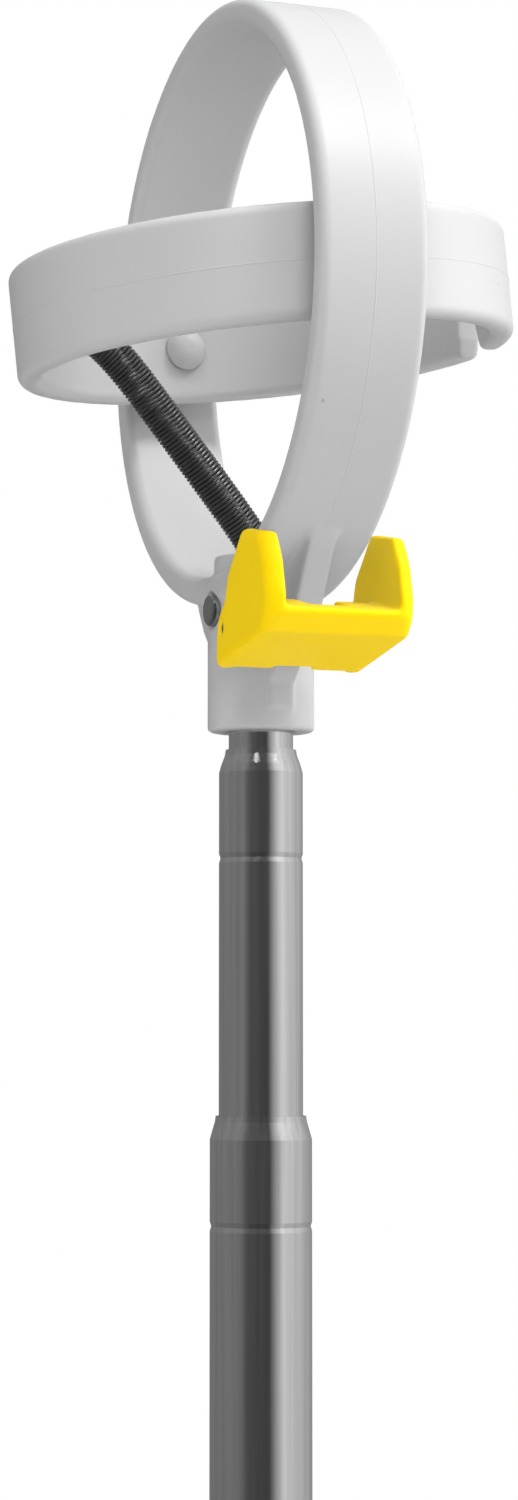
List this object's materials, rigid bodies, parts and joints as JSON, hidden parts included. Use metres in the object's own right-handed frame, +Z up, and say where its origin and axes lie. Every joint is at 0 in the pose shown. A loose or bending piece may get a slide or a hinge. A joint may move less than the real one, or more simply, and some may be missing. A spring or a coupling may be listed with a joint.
{
  "type": "golf ball retriever",
  "caption": "Telescoping golf ball retriever: crossed white hoops that trap a ball, a yellow lock clip, a return spring, a steel pole and a rubber grip.",
  "frame": {"origin": "centre of the grip's flat butt face", "axes": "+Z up the pole to the head, +X along the fixed hoop's axis, -Y towards the lock clip"},
  "size_m": [0.0638, 0.076, 0.6],
  "materials": {
    "white_plastic": "satin moulded white",
    "yellow_plastic": "glossy moulded yellow",
    "spring_steel": "dark oiled spring wire",
    "pole_steel": "polished stainless tube",
    "fastener_steel": "plated steel",
    "bush_nylon": "natural nylon",
    "grip_rubber": "matt black, moulded texture"
  },
  "bodies": {
    "handle": {"handle_tube": "pole_steel", "handle_guide_bush": "bush_nylon", "butt_plug": "bush_nylon", "grip": "grip_rubber"},
    "third_slider": {"third_sleeve": "bush_nylon"},
    "third_section": {"third_tube": "pole_steel", "third_guide_bush": "bush_nylon", "third_end_plug": "bush_nylon"},
    "second_slider": {"second_sleeve": "bush_nylon"},
    "second_section": {"second_tube": "pole_steel", "second_guide_bush": "bush_nylon", "second_end_plug": "bush_nylon"},
    "top_slider": {"top_sleeve": "bush_nylon"},
    "head": {"outer_hoop": "white_plastic", "top_tube": "pole_steel", "top_end_plug": "bush_nylon", "spring_plug": "bush_nylon", "head_screw": "fastener_steel", "near_pivot_pin": "white_plastic", "far_pivot_pin": "white_plastic", "clip_pin": "fastener_steel", "return_spring": "spring_steel"},
    "inner_hoop": {"inner_hoop": "white_plastic"},
    "lock_clip": {"lock_clip": "yellow_plastic"}
  },
  "joints": [
    {"name": "third_slide", "type": "slide", "parent": "handle", "child": "third_slider", "axis": [0, 0, 1], "range_m": [0, 0.362]},
    {"name": "third_turn", "type": "hinge", "parent": "third_slider", "child": "third_section", "pos_m": [0, 0, 0.1], "axis": [0, 0, 1], "continuous": true},
    {"name": "second_slide", "type": "slide", "parent": "third_section", "child": "second_slider", "axis": [0, 0, 1], "range_m": [0, 0.408]},
    {"name": "second_turn", "type": "hinge", "parent": "second_slider", "child": "second_section", "pos_m": [0, 0, 0.1], "axis": [0, 0, 1], "continuous": true},
    {"name": "top_slide", "type": "slide", "parent": "second_section", "child": "top_slider", "axis": [0, 0, 1], "range_m": [0, 0.449]},
    {"name": "top_turn", "type": "hinge", "parent": "top_slider", "child": "head", "pos_m": [0, 0, 0.1], "axis": [0, 0, 1], "continuous": true},
    {"name": "hoop_swing", "type": "hinge", "parent": "head", "child": "inner_hoop", "pos_m": [0, 0, 0.562], "axis": [0, 1, 0], "range_deg": [-30, 96.1], "stiffness_Nm_per_rad": 0.02, "deforming": ["return_spring"]},
    {"name": "clip_swing", "type": "hinge", "parent": "head", "child": "lock_clip", "pos_m": [0, -0.011, 0.5196], "axis": [-1, 0, 0], "range_deg": [0, 32]}
  ]
}
